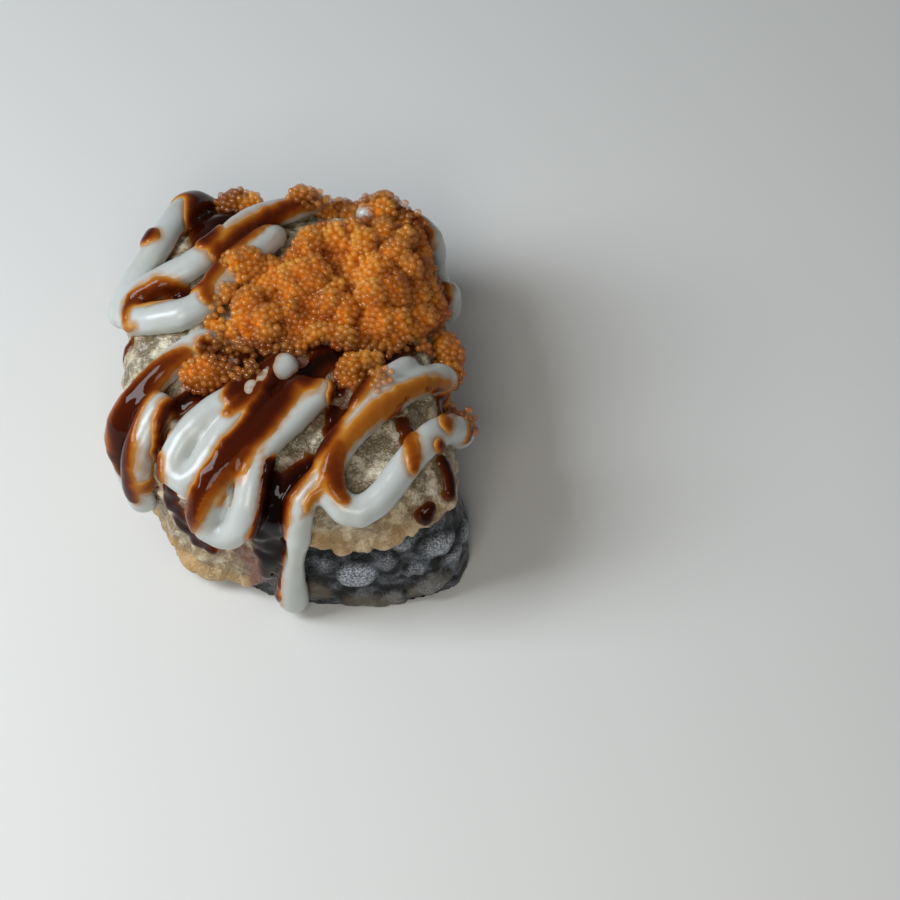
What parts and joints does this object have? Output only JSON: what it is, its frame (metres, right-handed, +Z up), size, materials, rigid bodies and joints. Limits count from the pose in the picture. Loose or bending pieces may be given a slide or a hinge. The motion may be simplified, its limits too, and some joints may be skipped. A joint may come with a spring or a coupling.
{
  "type": "fried futomaki",
  "caption": "Thick end slice of fried sushi roll in tempura batter, with piped mayonnaise, dark glaze and orange roe; it stands on its cut face.",
  "frame": {"origin": "centre of the bounding box's bottom, on the surface that the slice stands on", "axes": "+Z up; -Y towards the side where the batter has come off the nori; +X to the right seen from there"},
  "size_m": [0.058, 0.067, 0.0381],
  "materials": {
    "nori": "dark seaweed under a frosted film of batter",
    "batter": "pale gold fried batter, pebbled and slightly translucent",
    "mayonnaise": "smooth glossy cream white",
    "sauce": "thin dark brown glaze, amber where thin",
    "roe": "translucent glossy orange eggs"
  },
  "bodies": {
    "root": {"nori_roll": "nori", "batter_coat": "batter", "mayo_back_left": "mayonnaise", "mayo_left": "mayonnaise", "mayo_front_left": "mayonnaise", "mayo_front_right": "mayonnaise", "mayo_back": "mayonnaise", "roe_heap": "roe", "roe_clump_left": "roe", "roe_clump_front": "roe", "roe_clump_back": "roe", "roe_clump_back_left": "roe", "roe_clump_right": "roe"}
  },
  "joints": []
}
